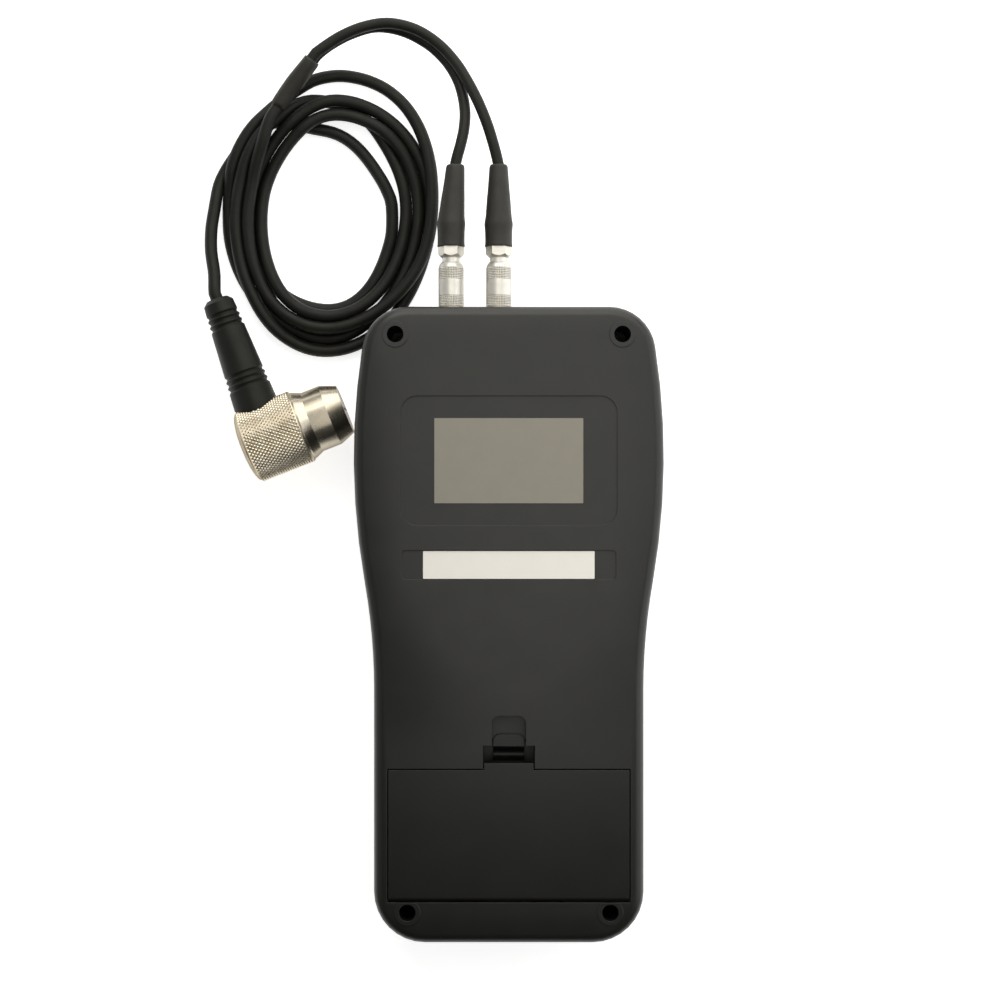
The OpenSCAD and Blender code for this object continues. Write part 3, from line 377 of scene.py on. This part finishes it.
# ---------------------------------------------------------------- cables
CABLE_D, LEAD_D = 3.1, 2.7
LEAD_1 = [(-12.8, 110.8, 17), (-12.4, 112.6, 17), (-11.6, 115.5, 16.7), (-10.8, 119.5, 15.8), (-10.6, 124, 14.2),
          (-11.4, 129, 12.4), (-13.1, 133.6, 11), (-16, 137.9, 10), (-20.2, 141.7, 9.2), (-26.2, 144.8, 8.6),
          (-32.6, 145.8, 8.3), (-38.6, 144.2, 8.2), (-43.6, 141.6, 8.2), (-46.9, 139.1, 8.2), (-48, 137.75, 8.2)]
LEAD_2 = [(-2.5, 110.8, 17), (-2.9, 112.6, 17), (-3.8, 116, 17), (-5.2, 120.5, 16.6), (-7.3, 125.8, 15.8),
          (-9.9, 131.1, 14.6), (-13, 136.2, 13.2), (-17.2, 140.9, 12.1), (-22.7, 144.5, 11.5), (-29, 146.1, 11.2),
          (-35, 145.4, 11), (-41, 143, 11), (-46.9, 139.1, 11), (-48, 137.75, 11)]

# Knots of the coil as the photograph shows its strands: pixel of the crossing, height and how well it is seen.
# left at x, bottom at y, right at x, top at y, turn after turn, from the sleeve to the tail
LEFTS = [(248.7, 4.5, 1.0), (228, 1.6, 0.9), (260.5, 1.8, 0.8), (236.8, 4.3, 1.0), (252.5, 1.6, 0.3)]
BOTTOMS = [(328, 4.5, 1.0), (339, 1.6, 0.8), (317, 3.9, 0.8), (349.8, 1.6, 1.0), (309.5, 1.6, 1.0)]
RIGHTS = [(431.5, 4.65, 1.0), (418, 1.7, 0.8), (406, 1.7, 0.8), (429.5, 1.6, 0.6), (393.6, 1.6, 1.0)]
TOPS = [(75.3, 2.0, 1.0), (115.6, 3.9, 0.9), (107.5, 1.6, 0.4), (101.9, 4.2, 0.8), (132, 1.6, 1.0)]
HEAD = [(278.2, 106.3, 8.1), (269.4, 119.6, 8.4), (263.2, 137.5, 8.2), (256.6, 158.4, 6.8), (251.6, 182, 5.2)]
# Quarters of a turn that follow a route of their own, by turn and quarter: they pass under the sleeve
ROUTES = {
    (0, 3): [(331, 76.6, 2.0), (313, 81.2, 2.2), (297, 91.5, 2.6), (282.5, 103.5, 3.4), (268, 115.8, 4.2),
             (255, 127, 4.6), (245.2, 138.6, 4.7), (237.5, 152, 4.4), (231.5, 169, 3.2), (228.7, 190, 1.9)],
    (2, 3): [(331, 102.5, 1.8), (313, 100, 2.0), (299, 102, 2.6), (285, 107.5, 3.8), (271, 119.5, 5.0),
             (258.5, 134, 5.8), (247.6, 154, 5.8), (241, 170, 5.2), (237.6, 190, 4.6)],
}
TAIL = [(391.9, 206, 1.6), (388.9, 195, 1.6), (383.8, 184, 1.6), (377.6, 173.8, 1.6), (370.6, 163.4, 1.6),
        (362.3, 153, 1.6), (353, 144, 1.6), (342, 136.6, 1.6), (330, 132, 1.6), (314, 129, 1.6),
        (296, 125.5, 1.6), (275, 122.5, 1.6), (256.5, 130, 1.6), (244.4, 143, 1.7), (237, 156.5, 1.9),
        (228.5, 172.5, 2.3), (220.4, 190, 2.9), (215.6, 208, 3.6), (211.7, 229, 4.6), (211.2, 251, 6.0),
        (214.2, 273, 7.8)]
BOOT_END = (-71.6, 78.65, 9.2)
BOOT_WAY = (-0.345, 0.938, 0)
# How much fuller than an ellipse a quarter of a turn runs, by turn and quarter
FULLER = {(0, 0): 0.012, (1, 0): -0.008, (2, 0): 0.015, (3, 0): -0.004, (4, 0): 0.03, (0, 1): -0.025, (1, 1): -0.03,
          (3, 1): 0.022, (4, 1): 0.018, (0, 2): 0.045, (2, 2): -0.075, (1, 3): -0.04, (3, 3): -0.055}
COIL_C = (332.0, 213.0)
COIL_LEAN = math.radians(-5)


def lead_route(points):
    """A lead's points, with both ends run on into its boot and the split sleeve."""
    p = np.array(points, float)
    return np.vstack([p[0] - 1.4 * (p[1] - p[0]) / np.linalg.norm(p[1] - p[0]), p,
                      p[-1] + 2.2 * (p[-1] - p[-2]) / np.linalg.norm(p[-1] - p[-2])])


def coil_targets():
    """The wanted line of the cable: a free start, five turns made by one loop, and a free tail."""
    s3 = CAM_F / (CAM_H - 3)
    e1 = np.array([math.cos(COIL_LEAN), math.sin(COIL_LEAN)])
    e2 = np.array([-math.sin(COIL_LEAN), math.cos(COIL_LEAN)])
    cx, cy, _ = at_px(*COIL_C, 3)
    knots = []
    for turn in range(5):
        for quarter, table in enumerate((LEFTS, BOTTOMS, RIGHTS, TOPS)):
            px, z, seen = table[turn]
            middle = COIL_C[0] if quarter in (0, 2) else COIL_C[1]
            knots.append((180 + 360 * turn + 90 * quarter, abs(px - middle) / s3 / math.cos(COIL_LEAN), z, seen))
    angles = np.array([k[0] for k in knots], float)

    def eased(x, xs, ys):
        i = int(np.clip(np.searchsorted(xs, x, side="right") - 1, 0, len(xs) - 2))
        t = min(max((x - xs[i]) / (xs[i + 1] - xs[i]), 0), 1)
        t = (1 - math.cos(math.pi * t)) / 2
        return ys[i] + (ys[i + 1] - ys[i]) * t

    ax = angles[0::2]
    ay = angles[1::2]
    radius = np.array([k[1] for k in knots])
    pts = [at_px(*h) for h in HEAD]
    seen = [1.0] * len(pts)
    a = 184.0
    while a <= 360 + 4 * 360 + 2:
        part = (int((a - 180) // 360), int((a - 180) // 90) % 4)
        if part in ROUTES:
            pts += [at_px(*q) for q in ROUTES[part]]
            seen += [1.0] * len(ROUTES[part])
            a = 180 + 360 * part[0] + 90 * part[1] + 90 + 3
            continue
        ra = eased(a, ax, radius[0::2])
        rb = eased(a, ay, radius[1::2])
        t = math.radians(a)
        k = 1 + FULLER.get(part, 0) * math.sin(2 * t) ** 2
        xy = np.array([cx, cy]) + k * ra * math.cos(t) * e1 + k * rb * math.sin(t) * e2
        pts.append((xy[0], xy[1], eased(a, angles, [k[2] for k in knots])))
        seen.append(eased(a, angles, [k[3] for k in knots]))
        a += 12
    for p in TAIL:
        pts.append(at_px(*p))
        seen.append(1.0)
    for far in (1.8, 0):
        pts.append(tuple(c + far * w for c, w in zip(BOOT_END, BOOT_WAY)))
        seen.append(1.0)
    return np.array(pts, float), np.array(seen, float)


def settle(line, seen, d, top, rounds=260):
    """Lets the strands lie beside and on each other: pulls to the photograph's line, pushes apart where they meet."""
    want = line.copy()
    p = line.copy()
    n = len(p)
    step = line_length(p) / (n - 1)
    i, j = np.triu_indices(n, max(3, int(math.ceil(1.6 * d / step))))
    near = np.linalg.norm(want[i, :2] - want[j, :2], axis=1) < 3 * d
    i, j = i[near], j[near]
    cap = np.maximum(want[:, 2], top)
    for k in range(rounds):
        pull = 0.06 if k < rounds * 0.7 else 0.03
        p += pull * seen[:, None] * (want - p) * np.array([1, 1, 0.35])
        shift = p - want
        shift[1:-1] += 0.3 * (shift[:-2] + shift[2:] - 2 * shift[1:-1])
        p = want + shift
        for _ in range(3):
            v = p[i] - p[j]
            r = np.linalg.norm(v, axis=1)
            hit = r < d
            if not hit.any():
                break
            w = v[hit] / np.maximum(r[hit], 1e-6)[:, None] * ((d - r[hit]) * 0.3)[:, None]
            np.add.at(p, i[hit], w)
            np.add.at(p, j[hit], -w)
            p[:, 2] = np.maximum(p[:, 2], d / 2)
            p[:, 2] = np.minimum(p[:, 2], cap)
        p[0] = want[0]
        p[-1] = want[-1]
    return p


targets, seen = coil_targets()
line = smooth_line(targets, 1.6)
s_t = np.concatenate([[0], np.cumsum(np.linalg.norm(np.diff(targets, axis=0), axis=1))])
s_l = np.concatenate([[0], np.cumsum(np.linalg.norm(np.diff(line, axis=0), axis=1))])
weight = np.interp(s_l / s_l[-1], s_t / s_t[-1], seen)
line = settle(line, weight, CABLE_D, 4.65)
line = smooth_line(line, 1.6)
print("cable", round(line_length(line), 1), "points", len(line))

cable = cable_object("probe_cable", line, CABLE_D, cable_m.mat)
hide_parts("cable_coil", "cable_tail")

lead_lines = [smooth_line(lead_route(LEAD_1), 1.2), smooth_line(lead_route(LEAD_2), 1.2)]
for k, (pts, node) in enumerate(zip(lead_lines, ("lead_1", "lead_2"))):
    o = cable_object("plug_lead_%d" % (k + 1), pts, LEAD_D, cable_m.mat)
    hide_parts(node)


# ---------------------------------------------------------------- split sleeve
def split_sleeve():
    """Shrink sleeve: a flat oval round both leads that closes to a round collar on the cable."""
    start = Vector((-48.2, 137.5, 9.65))
    end = Vector((-56.3, 126.1, 8.1))
    o, a, s, u = basis(start, end - start)
    length = (end - start).length
    rows = []
    # station share, half width across, half height, and how far the sleeve stands off the line on its outer side
    prof = [(0.0, 1.5, 2.8, 0), (0.0, 1.86, 3.2, 0), (0.04, 1.94, 3.28, 0), (0.12, 1.97, 3.24, 0.04),
            (0.3, 2.1, 2.95, 0.2), (0.5, 2.2, 2.5, 0.36), (0.68, 2.2, 2.2, 0.46), (0.82, 2.12, 2.05, 0.52),
            (0.94, 2.0, 1.95, 0.58), (1.0, 1.92, 1.9, 0.6), (1.0, 1.5, 1.5, 0.6)]
    cols = 40
    verts = []
    for t, w, h, off in prof:
        c = o + a * (length * t) + s * off
        for j in range(cols):
            b = 2 * math.pi * j / cols
            cs, sn = math.cos(b), math.sin(b)
            k = 1 / (abs(cs) ** 2.4 + abs(sn) ** 2.4) ** (1 / 2.4) if h > w * 1.1 else 1.0
            verts.append(c + s * (w * cs * k) + u * (h * sn * k))
    faces = grid_faces(len(prof), cols)
    faces.append(tuple(range(cols - 1, -1, -1)))
    faces.append(tuple((len(prof) - 1) * cols + j for j in range(cols)))
    o = mesh_object("shrink_split", verts, faces, boot_m.mat)
    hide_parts("split_sleeve")
    return o


sleeve = split_sleeve()


# ---------------------------------------------------------------- plugs
PLUG_X = (-13.9, -2.4)
PLUG_Y0 = 75.0
PLUG_Z = 17.0


def knurled_sleeve(i):
    """Latch sleeve of a plug with two bands of fine cross knurl, with painted shade: a darker nickel on the faces in
    the knurl's pits.
    """
    x = PLUG_X[i]
    teeth, sub = 46, 4
    cols = teeth * sub
    r0, groove = 3.07, 0.1
    stations = []

    def plain(s, r):
        stations.append((s, r, False, 0))

    def band(s0, s1, rows):
        for k in range(rows * sub + 1):
            stations.append((s0 + (s1 - s0) * k / (rows * sub), r0, True, k))

    plain(1.1, 2.55)
    plain(1.1, 2.92)
    plain(1.2, r0 - 0.02)
    plain(1.28, r0 - groove)
    band(1.34, 3.66, 6)
    plain(3.72, r0 - groove)
    plain(3.78, r0 - 0.03)
    plain(3.86, r0 - 0.01)
    plain(7.55, r0 - 0.01)
    plain(7.63, r0 - 0.03)
    plain(7.69, r0 - groove)
    band(7.75, 10.6, 7)
    plain(10.64, r0 - groove)
    plain(10.74, r0 - 0.12)
    plain(11.3, 2.75)
    plain(11.78, 2.36)
    plain(11.88, 2.28)
    plain(11.9, 2.15)
    verts = []
    for s, r, knurl, k in stations:
        for j in range(cols):
            b = 2 * math.pi * j / cols
            rr = r
            if knurl:
                u = (j % sub) / sub
                v = (k % sub) / sub
                deep = max(0 if 0.2 < u < 0.8 else 1, 0 if 0.2 < v < 0.8 else 1)
                rr = r - groove * deep
            verts.append((x + rr * math.cos(b), PLUG_Y0 + s, PLUG_Z + rr * math.sin(b)))
    faces = grid_faces(len(stations), cols)
    o = mesh_object("knurled_sleeve_%d" % (i + 1), verts, faces, nickel.mat,
                    body="latch sleeve %d" % (i + 1), smooth=False)
    # Second slot: painted shade, a darker nickel on the pit faces where the knurl's grooves cross.
    o.data.materials.append(nickel_pit_painted_shade.mat)
    for f in o.data.polygons:
        row, col = divmod(f.index, cols)
        a, b = stations[row], stations[row + 1]
        if a[2] and b[2] and col % sub in (0, sub - 1) and a[3] % sub in (0, sub - 1):
            f.material_index = 1
    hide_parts("latch_sleeve_%d" % (i + 1))
    return o


def plug_boot(i):
    """Shrink boot: a short lip, a straight root over the nut's spigot, a soft bulge and a long taper."""
    x = PLUG_X[i]
    lean = (1.0, 0.0)[i]
    y0 = PLUG_Y0 + 15.6
    prof = [(0.0, 2.5, 0), (0.0, 3.3, 0), (0.25, 3.36, 0), (0.7, 3.28, 0), (1.6, 3.26, 0), (3.5, 3.29, 0),
            (4.6, 3.37, 0), (5.3, 3.44, 0), (5.8, 3.43, 0.02), (6.5, 3.3, 0.05), (7.4, 3.17, 0.1), (9, 3.04, 0.22),
            (11.5, 2.86, 0.42), (14, 2.63, 0.62), (16.5, 2.44, 0.82), (18.4, 2.31, 0.95), (19.2, 2.25, 1.0),
            (19.65, 2.13, 1.0), (19.88, 1.9, 1.0), (19.9, 1.5, 1.0)]
    cols = 36
    verts = []
    for s, r, k in prof:
        for j in range(cols):
            b = 2 * math.pi * j / cols
            verts.append((x + lean * k + r * math.cos(b), y0 + s, PLUG_Z + r * math.sin(b)))
    faces = grid_faces(len(prof), cols)
    faces.append(tuple((len(prof) - 1) * cols + j for j in range(cols)))
    o = mesh_object("shrink_boot_%d" % (i + 1), verts, faces, boot_m.mat)
    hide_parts("plug_boot_%d" % (i + 1))
    return o


for i in (0, 1):
    knurled_sleeve(i)
    plug_boot(i)

for k in (0, 1):
    pts = lead_lines[k]


# ---------------------------------------------------------------- probe body
PROBE = Vector((-57.2, 45.0, 9.2))
PROBE_A = math.radians(21.5)


def knurled_body():
    """Round probe body with a diamond knurl and a crowned plain back."""
    axis = Vector((math.cos(PROBE_A), math.sin(PROBE_A), 0))
    side = Vector((-math.sin(PROBE_A), math.cos(PROBE_A), 0))
    up = Vector((0, 0, 1))
    r0, half, depth = 9.2, 7.05, 0.26
    starts, sub = 60, 6
    cols = starts * sub
    pitch = 2 * math.pi * r0 / starts
    axial = pitch * 1.25
    rows = int(round((2 * half - 0.9) / (axial / sub)))
    stations = []
    flat = r0 - 0.5
    crown = 1.7
    for k in range(1, 17):
        a = math.pi / 2 * k / 16
        stations.append((-half - crown * math.cos(a), flat * math.sin(a), None))
    stations.append((-half + 0.1, r0 - 0.36, None))
    stations.append((-half + 0.26, r0 - 0.24, None))
    x0 = -half + 0.36
    for k in range(rows + 1):
        stations.append((x0 + (2 * half - 0.72) * k / rows, r0, k))
    stations.append((half - 0.26, r0 - 0.22, None))
    stations.append((half - 0.08, r0 - 0.3, None))
    stations.append((half, r0 - 0.45, None))
    stations.append((half, 6.6, None))
    verts = [PROBE + axis * (-half - crown)]
    for x, r, k in stations:
        for j in range(cols):
            b = 2 * math.pi * j / cols
            rr = r
            if k is not None:
                u = j / sub
                v = k / sub
                p = (u + v) % 1
                q = (u - v) % 1
                ridge = min(min(p, 1 - p), min(q, 1 - q)) * 2
                rr = r - depth * (1 - min(1, ridge * 1.35))
            verts.append(PROBE + axis * x + side * (rr * math.cos(b)) + up * (rr * math.sin(b)))
    faces = [(0, 1 + (j + 1) % cols, 1 + j) for j in range(cols)]
    faces += [tuple(1 + v for v in f) for f in grid_faces(len(stations), cols)]
    o = mesh_object("knurled_probe_body", verts, faces, probe_knurl_m.mat)
    o.data.materials.append(probe_back_m.mat)
    back = 1 + 17 * cols
    for f in o.data.polygons:
        if max(f.vertices) < back:
            f.material_index = 1
    m = o.modifiers.new("edges", "EDGE_SPLIT")
    m.split_angle = math.radians(24)
    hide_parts("probe_body")
    return o


knurled_body()


# ---------------------------------------------------------------- floor, light
def floor():
    me = bpy.data.meshes.new("floor")
    me.from_pydata([(-12, -12, -0.0004), (12, -12, -0.0004), (12, 12, -0.0004), (-12, 12, -0.0004)], [], [(0, 1, 2, 3)])
    o = bpy.data.objects.new("floor", me)
    bpy.context.scene.collection.objects.link(o)
    m = bpy.data.materials.new("floor_white")
    m.use_nodes = True
    nt = m.node_tree
    nt.nodes.clear()
    out = nt.nodes.new("ShaderNodeOutputMaterial")
    diff = nt.nodes.new("ShaderNodeBsdfDiffuse")
    diff.inputs["Color"].default_value = (0.86, 0.86, 0.86, 1)
    em = nt.nodes.new("ShaderNodeEmission")
    em.inputs["Color"].default_value = (1, 1, 1, 1)
    where = nt.nodes.new("ShaderNodeTexCoord")
    far = nt.nodes.new("ShaderNodeVectorMath")
    far.operation = "LENGTH"
    glow = nt.nodes.new("ShaderNodeMapRange")
    glow.interpolation_type = "SMOOTHSTEP"
    glow.inputs["From Min"].default_value = 0.3
    glow.inputs["From Max"].default_value = 1.4
    glow.inputs["To Min"].default_value = 0.76
    glow.inputs["To Max"].default_value = 1.0
    nt.links.new(where.outputs["Object"], far.inputs[0])
    nt.links.new(far.outputs["Value"], glow.inputs["Value"])
    nt.links.new(glow.outputs["Result"], em.inputs["Strength"])
    add = nt.nodes.new("ShaderNodeAddShader")
    mix = nt.nodes.new("ShaderNodeMixShader")
    lp = nt.nodes.new("ShaderNodeLightPath")
    most = nt.nodes.new("ShaderNodeMath")
    most.operation = "MAXIMUM"
    most2 = nt.nodes.new("ShaderNodeMath")
    most2.operation = "MAXIMUM"
    nt.links.new(lp.outputs["Is Camera Ray"], most.inputs[0])
    nt.links.new(lp.outputs["Is Glossy Ray"], most.inputs[1])
    nt.links.new(most.outputs[0], most2.inputs[0])
    nt.links.new(lp.outputs["Is Transmission Ray"], most2.inputs[1])
    nt.links.new(diff.outputs[0], add.inputs[0])
    nt.links.new(em.outputs[0], add.inputs[1])
    nt.links.new(most2.outputs[0], mix.inputs[0])
    nt.links.new(diff.outputs[0], mix.inputs[1])
    nt.links.new(add.outputs[0], mix.inputs[2])
    nt.links.new(mix.outputs[0], out.inputs["Surface"])
    me.materials.append(m)


floor()

world = bpy.data.worlds.new("world")
bpy.context.scene.world = world
world.use_nodes = True
wt = world.node_tree
bg = wt.nodes["Background"]
lp = wt.nodes.new("ShaderNodeLightPath")
mx = wt.nodes.new("ShaderNodeMix")
mx.data_type = "FLOAT"
mx.inputs["A"].default_value = 0.06
mx.inputs["B"].default_value = 1.0
wt.links.new(lp.outputs["Is Camera Ray"], mx.inputs["Factor"])
wt.links.new(mx.outputs["Result"], bg.inputs["Strength"])
bg.inputs["Color"].default_value = (1, 1, 1, 1)


def area(name, loc, target, size, power, colour=(1, 1, 1)):
    d = bpy.data.lights.new(name, "AREA")
    d.energy = power
    d.size = size
    d.color = colour
    o = bpy.data.objects.new(name, d)
    o.location = loc
    o.rotation_euler = (Vector(target) - Vector(loc)).to_track_quat("-Z", "Y").to_euler()
    o.visible_camera = False
    bpy.context.scene.collection.objects.link(o)


area("key", (0.061, 0.254, 0.4), (0.5, 0.419, 0), 0.57, 1.29, (1, 0.978, 0.92))
area("far", (0.1, 0.95, 0.5), (0, 0.03, 0.01), 1.2, 9.8, (1, 0.978, 0.92))
area("right", (0.95, 0.2, 0.5), (0, 0.03, 0.01), 1.2, 6.7)
area("left", (-0.95, 0.25, 0.5), (0, 0.03, 0.01), 1.2, 2.2)

bpy.context.scene.view_settings.view_transform = "Standard"
